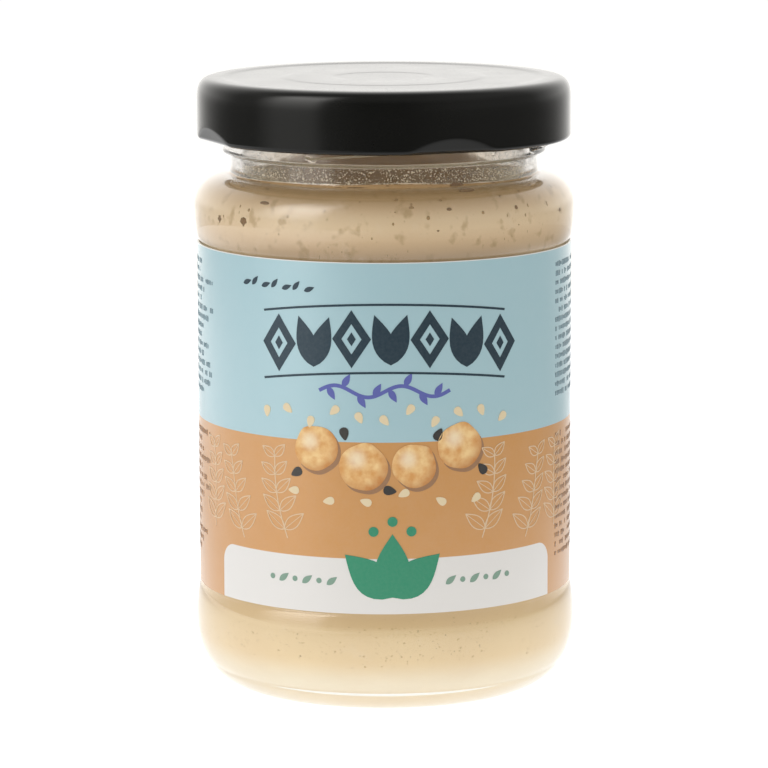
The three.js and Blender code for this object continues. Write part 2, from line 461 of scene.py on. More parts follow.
def colour(red, green, blue):
    """A linear colour from the eight-bit values of a screen colour."""
    return tuple(linear(value / 255) for value in (red, green, blue)) + (1.0,)


def linear(value):
    return value / 12.92 if value <= 0.04045 else ((value + 0.055) / 1.055) ** 2.4


def clear(finish, glass, tint=(0.96, 0.98, 0.97, 1.0)):
    """Glass that lets light through to what is inside it."""
    through = finish.node("BsdfTransparent", {"Color": tint})
    soft = finish.node("LightPath", out="Is Diffuse Ray")
    softly = finish.node("MixShader", {0: soft, 1: glass, 2: through})
    shadow = finish.node("LightPath", out="Is Shadow Ray")
    return finish.node("MixShader", {0: shadow, 1: softly, 2: through})


def mirror_rays(finish):
    """1 for rays that a surface reflects sharply.

    Rays that pass through glass count as glossy too, so they come off.
    """
    glossy = finish.node("LightPath", out="Is Glossy Ray")
    return glossy * (1 - finish.node("LightPath", out="Is Transmission Ray"))


def glass_finish():
    finish = Finish("clear glass")
    waves = finish.bump(finish.noise(9.0, detail=2.0), 0.02)
    film = finish.band(finish.noise(14.0, detail=4.0, seed=2.0), 0.4, 0.8)
    bore = finish.band(finish.radius(), (MOUTH_R + 1.2) * MM, (MOUTH_R + 0.6) * MM)
    above = finish.band(finish.height(), 84.0 * MM, 85.2 * MM)
    fog = bore * above
    # Painted shade: the neck's glass above the dip is tinted brown, darkest in the middle, where the headspace
    # behind it lies in shade, and paler cream at its sides.
    shaded_middle = finish.band(finish.split(finish.place())[0].size(), 21 * MM, 13 * MM)
    neck = finish.mix(shaded_middle, (0.985, 0.96, 0.93, 1.0), (0.90, 0.83, 0.74, 1.0))
    tint = finish.mix(above, (0.975, 0.99, 0.98, 1.0), neck)
    glass = finish.surface(
        {
            "Base Color": tint,
            "Roughness": film * 0.02 + fog * FOG,
            "IOR": 1.52,
            "Transmission Weight": 1.0,
            "Coat Weight": 0.6,
            "Coat Roughness": 0.3,
            "Normal": waves,
        }
    )
    return finish.output(clear(finish, glass))


def sheet_finish(name, deep, pale, gloss):
    """Lacquer or enamel on the lid's sheet."""
    finish = Finish(name)
    mottle = finish.noise(6.0, detail=4.0)
    scuffs = finish.band(finish.noise(0.8, detail=6.0, seed=5.0), 0.62, 0.75)
    shader = finish.surface(
        {
            "Base Color": finish.mix(mottle * 0.5, deep, pale),
            "Roughness": mottle * 0.06 + scuffs * 0.08 + gloss,
            "IOR": 1.36,
            "Normal": finish.bump(finish.noise(1.6, detail=3.0, seed=3.0), 0.006),
        }
    )
    return finish.output(shader)


def dip_finish():
    """Moist cream with fine grain and streaks of husk, and painted light and shade: paler downwards as if lit
    from the table below, browner at the top in the lid's shade, a painted highlight round the shoulder, light
    and shade on the top face, and darker bands just above and below the label.
    """
    finish = Finish("chickpea dip")
    height = finish.height()
    cloud = finish.noise(11.0, detail=4.0)
    streak = finish.noise(4.0, detail=5.0, roughness=0.6, seed=9.0)
    grain = finish.noise(1.3, detail=5.0, seed=1.0)
    specks = finish.band(finish.noise(0.55, detail=2.0, seed=7.0), 0.70, 0.76)
    smears = finish.band(finish.noise(1.9, detail=2.5, seed=13.0), 0.57, 0.69)
    smears = smears * finish.band(height, 70.0 * MM, 74.0 * MM)
    # Painted light: the dip grows paler downwards and palest near the floor, as if lit from the table below.
    low = finish.band(height, 40 * MM, 12 * MM)
    foot = finish.band(height, 9.0 * MM, 4.5 * MM, "SMOOTHSTEP")
    # Painted shade: the dip browns towards its top, where the lid shades it, partly an oily ring.
    top = finish.band(height, 79.5 * MM, 82.6 * MM, "SMOOTHSTEP")
    # Painted highlight: a pale band round the dip's shoulder, under the browned top.
    upper = finish.band(height, 76.0 * MM, 78.0 * MM) * finish.band(height, 80.6 * MM, 79.4 * MM)
    # Painted light and shade on the dip's top face: pale at the sides, dark brown in the middle.
    surface = finish.band(finish.radius(), 23.2 * MM, 22.8 * MM) * finish.band(height, 82.6 * MM, 83.0 * MM)
    shaded_middle = finish.band(finish.split(finish.place())[0].size(), 20 * MM, 13 * MM)
    # Painted shade: a darker band on the dip just above the label, in the middle only.
    above = finish.band(height, 76.4 * MM, 73.6 * MM) * finish.band(height, 70.0 * MM, 72.0 * MM)
    middle = finish.band(finish.split(finish.place())[0].size(), 27 * MM, 16 * MM)
    # Painted shade: a tan band on the dip just below the label.
    below = finish.band(height, 13.6 * MM, 14.3 * MM) * finish.band(height, 24.0 * MM, 20.0 * MM)
    base = finish.mix(low, colour(233, 200, 160), colour(240, 211, 163))
    base = finish.mix(upper * 0.5, base, colour(248, 222, 184))
    base = finish.mix(top * 0.8, base, colour(176, 130, 62))
    base = finish.mix(surface, base, finish.mix(shaded_middle, colour(240, 222, 194), colour(150, 110, 54)))
    base = finish.mix(above * middle * 0.6, base, colour(176, 134, 84))
    base = finish.mix(below * 0.45, base, colour(214, 174, 116))
    base = finish.mix(foot * 0.75, base, colour(250, 242, 224))
    base = finish.mix(cloud * 0.45, base, colour(216, 180, 138))
    base = finish.mix(finish.band(streak, 0.58, 0.75) * 0.35, base, colour(238, 214, 184))
    base = finish.mix(specks * 0.45, base, colour(164, 128, 84))
    base = finish.mix(smears * 0.45, base, colour(166, 128, 74))
    shader = finish.surface(
        {
            "Base Color": base,
            "Roughness": grain * 0.15 + 0.4,
            "IOR": 1.42,
            "Normal": finish.bump(grain, 0.05),
        }
    )
    return finish.output(shader)


def fleck_finish(name, dark, pale):
    finish = Finish(name)
    mottle = finish.noise(0.6, detail=3.0)
    shader = finish.surface(
        {
            "Base Color": finish.mix(mottle, dark, pale),
            "Roughness": mottle * 0.2 + 0.4,
            "Normal": finish.bump(mottle, 0.03),
        }
    )
    return finish.output(shader)


def dew_finish():
    finish = Finish("dew")
    haze = finish.noise(0.5, detail=2.0)
    water = finish.surface(
        {
            "Base Color": WHITE,
            "Roughness": haze * 0.05,
            "IOR": 1.33,
            "Transmission Weight": 1.0,
        }
    )
    return finish.output(clear(finish, water, WHITE))


def label_finish():
    """Blue above, tan below and a white panel with round upper corners along the foot."""
    finish = Finish("printed label paper")
    x, y, height = finish.split(finish.place())
    along = x.maths("ARCTAN2", x, y * -1) * LABEL_R
    grain = finish.noise(0.5, detail=4.0)
    fibre = finish.noise(3.0, detail=4.0, seed=4.0)
    ground = finish.band(height, (HORIZON_Z + 0.03) * MM, (HORIZON_Z - 0.03) * MM)
    base = finish.mix(ground, colour(167, 203, 210), colour(209, 144, 58))
    across = ((along - STRIP_MIDDLE).size() - (STRIP_HALF - STRIP_CORNER)).high(0)
    up = (height / MM - (STRIP_TOP_Z - STRIP_CORNER)).high(0)
    outside = (across * across + up * up).root()
    panel = finish.band(outside, STRIP_CORNER + 0.04, STRIP_CORNER - 0.04)
    base = finish.mix(panel, base, colour(233, 229, 223))
    trim = finish.band(height, (LABEL_TOP - 0.16) * MM, (LABEL_TOP - 0.12) * MM)
    base = finish.mix(trim, base, colour(235, 235, 230))
    base = finish.mix(fibre * 0.06 + grain * 0.04, base, colour(240, 238, 232))
    shader = finish.surface(
        {
            "Base Color": base,
            "Roughness": grain * 0.1 + 0.38,
            "IOR": 1.45,
            "Coat Weight": 1.0,
            "Coat IOR": VARNISH_IOR,
            "Coat Roughness": 0.25,
            "Normal": finish.bump(grain, 0.01),
        }
    )
    return finish.output(shader)


def ink_finish(name, tone):
    finish = Finish(name)
    grain = finish.noise(0.5, detail=4.0)
    shader = finish.surface(
        {
            "Base Color": finish.mix(grain * 0.05, tone, colour(240, 238, 232)),
            "Roughness": grain * 0.1 + 0.5,
            "IOR": 1.4,
            "Coat Weight": 0.5,
            "Coat Roughness": 0.25,
            "Normal": finish.bump(grain, 0.01),
        }
    )
    return finish.output(shader)


def pea_finish():
    """Printed peas, lit from the upper left of each one's own map."""
    finish = Finish("printed peas")
    u, v, _ = finish.split(finish.node("UVMap"))
    across, up = u - 0.5, v - 0.5
    rim = (across * across + up * up).root() * 2
    lit_u, lit_v = u - 0.36, v - 0.66
    lit = finish.band((lit_u * lit_u + lit_v * lit_v).root(), 0.3, 0.02, "SMOOTHSTEP")
    fold = finish.noise(1.6, detail=4.0, seed=6.0)
    base = finish.mix(finish.band(fold, 0.35, 0.65), colour(222, 160, 90), colour(246, 208, 146))
    base = finish.mix(finish.band(rim + across * 0.5 - up * 0.5, 0.7, 1.35) * 0.7, base, colour(186, 112, 48))
    base = finish.mix(lit * 0.6, base, colour(252, 238, 210))
    shader = finish.surface({"Base Color": base, "Roughness": fold * 0.1 + 0.4})
    return finish.output(shader)


# Jar


def thread_rows():
    steps = 12
    return [(FINISH_R, THREAD_LOW_Z - THREAD_FOOT + 2 * THREAD_FOOT * i / steps) for i in range(steps + 1)]


def thread_on_wall(r, z, deg):
    """Lifts the rows of the thread into short climbing ridges with round ends."""
    offset = z - THREAD_LOW_Z
    if abs(r - FINISH_R) > 0.01 or abs(offset) > THREAD_FOOT + 0.01:
        return r, z
    along = (deg - THREAD_LOW_DEG) % (360 / STARTS)
    run = math.radians(along) * FINISH_R
    length = math.radians(THREAD_SPAN_DEG) * FINISH_R
    past = max(THREAD_TIP - run, run - length + THREAD_TIP, 0)
    crest = 1 - ease(0.5, 1.0, math.hypot(offset / THREAD_FOOT, past / THREAD_TIP))
    climbed = THREAD_CLIMB * min(along / THREAD_SPAN_DEG, 1.0)
    return r + crest * (THREAD_R - FINISH_R), z + climbed


def heel():
    """The heel, with the shallow parting ring of the mould's bottom plate."""
    curve = arc(BEARING_R[1], HEEL_TOP_Z, JAR_R - BEARING_R[1], HEEL_TOP_Z, -90, 0, 48, HEEL_POWER)
    rows = []
    for r, z in curve:
        off = (z - PLATE_SEAM_Z) / PLATE_SEAM_WIDTH
        rows.append((r - PLATE_SEAM_DEPTH * math.exp(-(off**2)), z))
    return rows


def jar_outside():
    convex = math.radians(SHOULDER_TURN)
    end_r = SHOULDER_R + (JAR_R - SHOULDER_R) * math.cos(convex)
    end_z = BULGE_Z + SHOULDER_RISE * math.sin(convex)
    return (
        arc(0, 0, BEARING_R[0], PUSH_UP, 90, 0, 12)
        + heel()
        + arc(PANEL_R, HEEL_TOP_Z, JAR_R - PANEL_R, PANEL_BOTTOM_Z - HEEL_TOP_Z, 0, 90, 8)[1:]
        + arc(PANEL_R, BULGE_Z, JAR_R - PANEL_R, BULGE_Z - PANEL_TOP_Z, -90, 0, 8)
        + arc(SHOULDER_R, BULGE_Z, JAR_R - SHOULDER_R, SHOULDER_RISE, 0, SHOULDER_TURN, 12)[1:]
        + arc(end_r, NECK_FILLET_Z, end_r - NECK_R, NECK_FILLET_Z - end_z, 270, 180, 8)[1:]
        + arc(NECK_R + LEDGE_ROUND, NECK_TOP_Z, LEDGE_ROUND, LEDGE_ROUND, 180, 180 - LEDGE_TURN, 8)
        + arc(FINISH_R - LEDGE_ROUND, FINISH_Z, LEDGE_ROUND, LEDGE_ROUND, -LEDGE_TURN, 0, 8)
    )


def jar_rim():
    return arc(RIM_OUTER_R - RIM_ROUND, RIM_Z - RIM_ROUND, RIM_ROUND, RIM_ROUND, 0, 90, 6) + arc(
        MOUTH_R + RIM_ROUND, RIM_Z - RIM_ROUND, RIM_ROUND, RIM_ROUND, 90, 180, 6
    )


def shoulder_end():
    """Where the inner shoulder turns up into the mouth."""
    convex = math.radians(SHOULDER_TURN)
    r = INNER_SHOULDER_R + (BORE_R - INNER_SHOULDER_R) * math.cos(convex)
    z = INNER_SHOULDER_Z + (INNER_SHOULDER_TOP_Z - INNER_SHOULDER_Z) * math.sin(convex)
    return r, z


def jar_mouth():
    r, z = shoulder_end()
    return arc(r, MOUTH_Z, r - MOUTH_R, MOUTH_Z - z, 180, 270, 12)[:-1]


def inside(inset):
    """The jar's inside below the mouth, down to the floor's centre, drawn in by inset millimetres."""
    bore = BORE_R - inset
    floor = FLOOR_Z + inset
    across = bore - INNER_SHOULDER_R
    rise = INNER_SHOULDER_TOP_Z - inset - INNER_SHOULDER_Z
    return (
        arc(INNER_SHOULDER_R, INNER_SHOULDER_Z, across, rise, SHOULDER_TURN, 0, 10)
        + arc(FLOOR_CORNER_R, INNER_HEEL_Z, bore - FLOOR_CORNER_R, INNER_HEEL_Z - floor, 0, -90, 14)
        + arc(0, floor, FLOOR_CORNER_R, FLOOR_CROWN, 0, 90, 6)[1:]
    )


def glass_jar(material):
    outline = jar_outside() + thread_rows() + jar_rim() + jar_mouth() + inside(0)
    piece = turned("glass_jar", outline, thread_on_wall, around=GLASS_AROUND, sharp=60)
    return dress(piece, material, "glass", "jar")


# Dip


def fill_level(deg):
    """Where the dip meets the glass, at an angle round the jar."""
    waves = (height * math.sin(math.radians(deg * turns + phase)) for turns, height, phase in RIPPLES)
    return FILL_Z - FILL_TILT * math.cos(math.radians(deg)) + sum(waves)


def mouth_r(z, inset):
    """The jar's inner radius at a height between the inner shoulder's end and the straight mouth."""
    foot_r, foot_z = shoulder_end()
    down = min(max((MOUTH_Z - z) / (MOUTH_Z - foot_z), 0.0), 1.0)
    return foot_r - (foot_r - MOUTH_R) * math.sqrt(1 - down * down) - inset


def dip(material):
    inset = -INTO_WALL
    edge = mouth_r(FILL_Z, inset)
    top = [(edge * i / 24, FILL_Z + CROWN * (1 - (i / 24) ** 2) ** 1.5) for i in range(24)]
    foot_z = shoulder_end()[1] + 0.2
    neck = [(mouth_r(z, inset), z) for z in (FILL_Z + (foot_z - FILL_Z) * i / 10 for i in range(11))]
    outline = (top + neck + inside(inset))[::-1]

    def relief(r, z, deg):
        if z < foot_z + 0.01:
            return r, z
        if z > FILL_Z - 0.01:
            share = min(r / edge, 1.0)
            x, y, _ = on_cylinder(r, deg, z)
            lumps = noise.noise(Vector((x, y, 0.3)) / (7 * MM)) * 0.6 * (1 - share**6)
            z += (fill_level(deg) - FILL_Z) * share + lumps
            return (mouth_r(z, inset) if share > 0.999 else r), z
        z = foot_z + (z - foot_z) * (fill_level(deg) - foot_z) / (FILL_Z - foot_z)
        return mouth_r(z, inset), z

    piece = turned("chickpea_dip", outline, relief, sharp=60)
    return dress(piece, material, "hummus", "hummus")


# Flecks, dew and knurls


def wall_r(z):
    """The jar's inner radius at a height in millimetres, from the heel up to the mouth."""
    end_r, end_z = shoulder_end()
    most = math.sin(math.radians(SHOULDER_TURN))
    up = ((z - INNER_SHOULDER_Z) / (INNER_SHOULDER_TOP_Z - INNER_SHOULDER_Z)).high(0).low(most)
    down = ((INNER_HEEL_Z - z) / (INNER_HEEL_Z - FLOOR_Z)).high(0).low(1)
    below = ((MOUTH_Z - z) / (MOUTH_Z - end_z)).high(0).low(1)
    shoulder = (1 - (1 - up * up).root()) * (BORE_R - INNER_SHOULDER_R)
    heel = (1 - (1 - down * down).root()) * (BORE_R - FLOOR_CORNER_R)
    neck = (1 - below * below).root() * (end_r - MOUTH_R)
    return BORE_R - shoulder - heel - neck


def fill_line(angle):
    """The height where the dip meets the glass, for a tree of nodes."""
    level = angle.cosine() * -FILL_TILT + FILL_Z
    for turns, height, phase in RIPPLES:
        level = level + (angle * turns + math.radians(phase)).sine() * height
    return level


def strewn(name, material, slot, on_line=False, off_wall=0.0, segments=8, **sizes):
    """Flat grains on the jar's inside, each facing outwards.

    On the line, their height counts from the dip's edge. Off the wall, they stand in from it.
    """
    growth = Growth(name, **sizes)
    given = growth.given
    seed = given("Seed")
    angle = growth.draw(-math.pi, math.pi, seed)
    z = growth.draw(given("Foot"), given("Top"), seed + 1)
    if on_line:
        z = z + fill_line(angle)
    place = growth.round_jar((wall_r(z) - off_wall) * MM, angle, z * MM)
    grain = growth.node("GeometryNodeMeshUVSphere", {"Segments": segments, "Rings": 5, "Radius": 0.5 * MM})
    spread = growth.draw(0.0, 1.0, seed + 2)
    girth = given("Smallest") + (given("Largest") - given("Smallest")) * spread * spread * spread
    wide = girth * growth.draw(0.7, 1.0 + STRETCH, seed + 3) * given("Wide")
    tall = girth * growth.draw(0.7, 1.0 + STRETCH, seed + 4)
    scale = growth.vector(wide, given("Thick"), tall)
    placed = growth.planted(given("Count"), place, grain, angle, scale)
    return dress(growth.grown(placed, material), material, slot)


def flecks():
    """Bits of chickpea husk, air pits at the foot, smears along the dip's edge, and foam and a cream bead on
    that edge, which also stand as a painted highlight of its bright line.
    """
    dark = fleck_finish("dark husk", colour(124, 90, 54), colour(148, 112, 70))
    pale = fleck_finish("pale husk", colour(156, 122, 78), colour(190, 154, 108))
    pit = fleck_finish("air pits", colour(196, 160, 106), colour(214, 180, 128))
    oil = fleck_finish("oily smears", colour(118, 90, 54), colour(148, 114, 72))
    # The cream bits along the dip's edge partly stand in as a painted highlight.
    cream = fleck_finish("froth_and_painted_highlight", colour(226, 204, 170), colour(250, 238, 218))
    strewn(
        "dark_husks", dark, "hummus",
        Count=30, Foot=77.0, Top=83.2, Smallest=0.6, Largest=2.2, Wide=1.5, Thick=0.34, Seed=12,
    )
    strewn(
        "pale_husks", pale, "hummus",
        Count=420, Foot=72.2, Top=83.4, Smallest=0.22, Largest=0.9, Wide=0.8, Thick=0.34, Seed=17,
    )
    strewn(
        "low_husks", pale, "hummus",
        Count=700, Foot=9.0, Top=16.0, Smallest=0.12, Largest=0.36, Wide=1.0, Thick=0.34, Seed=19,
    )
    strewn(
        "air_pits", pit, "hummus", segments=6,
        Count=3600, Foot=8.0, Top=17.2, Smallest=0.14, Largest=0.45, Wide=1.0, Thick=0.34, Seed=23,
    )
    strewn(
        "oily_smears", oil, "hummus", on_line=True,
        Count=30, Foot=-1.5, Top=-0.3, Smallest=0.3, Largest=0.9, Wide=4.0, Thick=0.36, Seed=37,
    )
    # A cream bead along the dip's edge, as painted highlight.
    painted_edge_highlight(cream)
    # Cream foam bits along the dip's edge, partly a painted highlight of its bright line.
    strewn(
        "froth_and_painted_highlight", cream, "hummus", on_line=True, off_wall=0.05, segments=6,
        Count=420, Foot=-0.06, Top=0.12, Smallest=0.12, Largest=0.42, Wide=1.6, Thick=0.2, Seed=41,
    )
    strewn(
        "neck_splashes", cream, "hummus", on_line=True, off_wall=0.05, segments=6,
        Count=3000, Foot=0.1, Top=2.9, Smallest=0.1, Largest=0.26, Wide=1.0, Thick=0.14, Seed=43,
    )


def painted_edge_highlight(material):
    """A cream bead along the dip's edge, broken here and there: a painted highlight in the place of the bright
    line where the dip meets the glass.
    """
    growth = Growth("painted_highlight_bead", Girth=0.17, Rise=0.2, Steps=480)
    given = growth.given
    loop = growth.node("GeometryNodeCurvePrimitiveCircle", {"Resolution": given("Steps"), "Radius": 1.0})
    angle = growth.even_turn(given("Steps"))
    level = fill_line(angle) + given("Rise")
    place = growth.round_jar((wall_r(level) - 0.04) * MM, angle, level * MM)
    line = growth.node("GeometryNodeSetPosition", {"Geometry": loop, "Position": place})
    lumps = growth.node("TexNoise", {"Vector": place, "Scale": 180.0, "Detail": 2.0})
    girth = growth.node(
        "MapRange",
        {"Value": lumps, "From Min": 0.42, "From Max": 0.56, "To Min": 0.15, "To Max": 1.0},
    )
    around = growth.node("GeometryNodeCurvePrimitiveCircle", {"Resolution": 8, "Radius": given("Girth") * MM})
    tube = growth.node("GeometryNodeCurveToMesh", {"Curve": line, "Profile Curve": around, "Scale": girth})
    return dress(growth.grown(tube, material), material, "hummus")


def dew():
    """Fine drops on the inside of the neck, above the dip."""
    strewn(
        "neck_dew", dew_finish(), "glass", off_wall=0.06, segments=6,
        Count=2600, Foot=84.8, Top=87.2, Smallest=0.06, Largest=0.2, Wide=1.0, Thick=0.5, Seed=31,
    )


def knurls(material):
    """Short ribs on the ring that the jar stands on."""
    growth = Growth(
        "foot_knurls",
        Count=KNURLS,
        Radius=sum(BEARING_R) / 2,
        Length=1.3,
        Width=0.5,
        Height=0.24,
    )
    given = growth.given
    angle = growth.even_turn(given("Count"))
    place = growth.round_jar(given("Radius") * MM, angle, given("Height") * 0.5 * MM)
    rib = growth.node("GeometryNodeMeshUVSphere", {"Segments": 8, "Rings": 5, "Radius": 0.5 * MM})
    scale = growth.vector(given("Width"), given("Length"), given("Height"))
    placed = growth.planted(given("Count"), place, rib, angle, scale)
    dress(growth.grown(placed, material), material, "glass")


# Lid


def lid_step(r, inner_z, outer_z, run=1.6, steps=8):
    """A soft step between two heights, centred on radius r."""
    return [
        (r - run / 2 + run * i / steps, inner_z + (outer_z - inner_z) * ease(0, 1, i / steps))
        for i in range(steps + 1)
    ]


def lid_outline():
    panel = LID_TOP - PANEL_DROP
    button = panel + BUTTON_RISE
    curl_r, curl_z = LID_R - CURL / 2, LID_FOOT + CURL / 2
    skirt_top = LID_TOP - EDGE_DROP
    rows = 26
    skirt = [(LID_R, curl_z + (skirt_top - curl_z) * (1 - i / rows)) for i in range(1, rows)]
    outside = (
        [(0, panel)]
        + lid_step(BUTTON_R, panel, button)
        + lid_step(BUTTON_RING_R, button, panel)
        + lid_step(CHANNEL_R, panel, LID_TOP, CHANNEL_RUN)
        + arc(LID_R - EDGE_RUN, skirt_top, EDGE_RUN, EDGE_DROP, 90, 0, 16, EDGE_POWER)
        + skirt
        + arc(curl_r, curl_z, CURL / 2, CURL / 2, 0, -200, 14)
    )
    inner_r = LID_R - LID_WALL
    ceiling = RIM_Z + FIT_GAP
    under = panel - LID_WALL
    within = (
        [(inner_r, curl_z + CURL * 0.7)]
        + arc(inner_r - 1.6, ceiling - 1.6, 1.6, 1.6, 0, 90, 6)
        + lid_step(MOUTH_R - 1.0, under, ceiling)[::-1]
        + [(0, under)]
    )
    return outside, within


def press_lugs(r, z, deg):
    """The skirt's foot is pressed in at the lugs, as a flat lens whose upper edge is a shallow arch."""
    side = from_nearest(deg, LUG_CENTRE_DEG, LUGS) / LUG_HALF_DEG
    if abs(side) >= 1 or z > LID_FOOT + LUG_HEIGHT + 0.5 or r < LID_R - CURL - 0.1:
        return r, z
    arch = LID_FOOT + LUG_HEIGHT * (1 - side * side)
    below = arch - z
    pressed = LUG_SLOPE * (below + math.sqrt(below * below + LUG_SOFT * LUG_SOFT)) / 2
    return r - pressed * ease(0, LUG_END, 1 - abs(side)), z


def lid(lacquer, enamel):
    outside, within = lid_outline()
    piece = turned("twist_lid", (outside + within)[::-1], press_lugs, sharp=60)
    dress(piece, lacquer, "lacquered_lid", "lid")
    piece.data.materials.append(enamel)
    for face in piece.data.polygons:
        face.material_index = int(face.index // AROUND < len(within) - 1)


# Label


def label(material):
    columns = 180
    half = 180 - SEAM_DEG
    inner_r = LABEL_R - PAPER
    rows = ((inner_r, LABEL_FOOT), (LABEL_R, LABEL_FOOT), (LABEL_R, LABEL_TOP), (inner_r, LABEL_TOP))
    verts, faces = [], []
    for i in range(columns + 1):
        deg = -half + 2 * half * i / columns
        verts += [on_cylinder(r, deg, z) for r, z in rows]
    for i in range(columns):
        here, there = 4 * i, 4 * i + 4
        for low, high in ((0, 1), (1, 2), (2, 3), (3, 0)):
            faces.append([here + low, there + low, there + high, here + high])
    faces += [[0, 1, 2, 3], [4 * columns + i for i in (3, 2, 1, 0)]]
    piece = mesh_piece("paper_label", verts, faces)
    return dress(piece, material, "label_paper", "label")


# Print, drawn flat as millimetres along the label from its front and up from the floor


def oval(u, v, half_u, half_v, turn=0.0, steps=20):
    return spun(u, v, turn, [(half_u * math.cos(a), half_v * math.sin(a)) for a in angles(steps)])


def angles(steps):
    return [2 * math.pi * i / steps for i in range(steps)]


def spun(u, v, turn, shape):
    """A shape turned by degrees about its own middle and set at (u, v)."""
    c, s = math.cos(math.radians(turn)), math.sin(math.radians(turn))
    return [(u + c * x - s * y, v + s * x + c * y) for x, y in shape]


def leaf(u, v, length, width, turn):
    """A pointed leaf that grows from (u, v)."""
    side = [(length * i / 10, width / 2 * math.sin(math.pi * (i / 10) ** 0.8)) for i in range(11)]
    return spun(u, v, turn, side[:-1] + [(x, -y) for x, y in side[:0:-1]])


def drop(u, v, length, width, turn):
    """A seed with one round and one pointed end."""
    shape = [
        (length / 2 * math.cos(a), width / 2 * math.sin(a) * (1 + 0.45 * math.cos(a)))
        for a in angles(16)
    ]
    return spun(u, v, turn, shape)


def stroke(points, width):
    """A line of even width through points, as one polygon."""
    left, right = [], []
    for i, (u, v) in enumerate(points):
        before, after = points[max(i - 1, 0)], points[min(i + 1, len(points) - 1)]
        du, dv = after[0] - before[0], after[1] - before[1]
        size = math.hypot(du, dv) or 1.0
        left.append((u - dv / size * width / 2, v + du / size * width / 2))
        right.append((u + dv / size * width / 2, v - du / size * width / 2))
    return left + right[::-1]


def outlined(shape, width):
    """The thin line round a shape."""
    loop = shape + shape[:2]
    return [stroke(loop[i : i + 3], width) for i in range(len(shape))]


def lozenge(u, v, half_u, half_v):
    return [(u - half_u, v), (u, v - half_v), (u + half_u, v), (u, v + half_v)]


def printed(name, shapes, material, level=1):
    """A thin layer of ink wrapped round the label. Each shape has its own map from 0 to 1."""
    flat = bmesh.new()
    layer = flat.loops.layers.uv.new("UVMap")
    for i, shape in enumerate(shapes):
        lift = INK * level + LAP * (i % 6)
        corners = [flat.verts.new((u, v, lift)) for u, v in shape]
        low_u, low_v = min(u for u, _ in shape), min(v for _, v in shape)
        wide = max(u for u, _ in shape) - low_u
        high = max(v for _, v in shape) - low_v
        for triangle in geometry.tessellate_polygon([[Vector((u, v, 0)) for u, v in shape]]):
            face = flat.faces.new([corners[i] for i in triangle])
            for loop in face.loops:
                loop[layer].uv = ((loop.vert.co.x - low_u) / wide, (loop.vert.co.y - low_v) / high)
    edge = max(abs(vert.co.x) for vert in flat.verts)
    cuts = int(edge / WRAP_STEP)
    for i in range(-cuts, cuts + 1):
        parts = flat.verts[:] + flat.edges[:] + flat.faces[:]
        bmesh.ops.bisect_plane(flat, geom=parts, plane_co=(i * WRAP_STEP, 0, 0), plane_no=(1, 0, 0))
    bmesh.ops.recalc_face_normals(flat, faces=flat.faces[:])
    for face in flat.faces:
        if face.normal.z < 0:
            face.normal_flip()
    under = bmesh.ops.duplicate(flat, geom=flat.verts[:] + flat.edges[:] + flat.faces[:])
    twins = {a: b for a, b in under["vert_map"].items() if isinstance(a, bmesh.types.BMVert)}
    backs = [item for item in under["geom"] if isinstance(item, bmesh.types.BMFace)]
    bottom = set(vert for face in backs for vert in face.verts)
    bmesh.ops.reverse_faces(flat, faces=backs)
    rims = [e for e in flat.edges if e.is_boundary and e.verts[0] not in bottom]
    for rim in rims:
        loop = rim.link_loops[0]
        a, b = loop.vert, loop.link_loop_next.vert
        flat.faces.new([b, a, twins[a], twins[b]])
    for vert in flat.verts:
        r = LABEL_R + (-INK / 2 if vert in bottom else vert.co.z)
        vert.co = on_cylinder(r, math.degrees(vert.co.x / LABEL_R), vert.co.y)
    mesh = bpy.data.meshes.new(name)
    flat.to_mesh(mesh)
    flat.free()
    return dress(added(name, mesh), material, "label_paper")


def title_row():
    """A frieze of lozenges and buds between two rules, in the place of a heading."""
    shapes = []
    for i in range(7):
        u = -17.6 + 6.2 * i
        v = TITLE_V - TITLE_SAG * u * u
        if i % 2:
            shapes += [leaf(u, v - 4.2, 8.4, 3.4, 72), leaf(u, v - 4.2, 8.4, 3.4, 108)]
        else:
            rim, hole = lozenge(u, v, 3.1, 4.6), lozenge(u, v, 1.6, 2.4)
            shapes += [[rim[k - 1], rim[k], hole[k], hole[k - 1]] for k in range(4)]
            shapes.append(lozenge(u, v, 0.7, 1.1))
    for v in TITLE_RULES_V:
        us = [2 * TITLE_RULE_HALF * i / 40 - TITLE_RULE_HALF for i in range(41)]
        shapes.append(stroke([(u, v - TITLE_SAG * u * u) for u in us], 0.35))
    return shapes


def vine():
    wave = [(-10.5 + 21 * i / 60, VINE_V + 0.9 * math.sin(i / 60 * 4 * math.pi)) for i in range(61)]
    leaves = []
    for i in range(8):
        u, v = wave[4 + i * 7]
        leaves.append(leaf(u, v, 2.4, 1.1, 60 if i % 2 else -60))
    return [stroke(wave, 0.6)] + leaves


def sprig():
    """Three broad leaves on a stem."""
    leaves = [leaf(SPRIG_U, SPRIG_V, 10.2, 5.6, turn) for turn in (42, 90, 138)]
    berries = [oval(SPRIG_U + du, BERRY_V + dv, 0.8, 0.8) for du, dv in BERRIES]
    return leaves + berries


def strip_marks():
    """Small leaves and dots either side of the sprig."""
    shapes = []
    for side in (-1, 1):
        for i in range(6):
            u = 1.0 + side * (9.6 + 2.1 * i)
            dot = oval(u, STRIP_MARK_V, 0.45, 0.45)
            shapes.append(dot if i % 2 else leaf(u - 0.8, 21.4, 2.2, 1.0, 38))
    return shapes


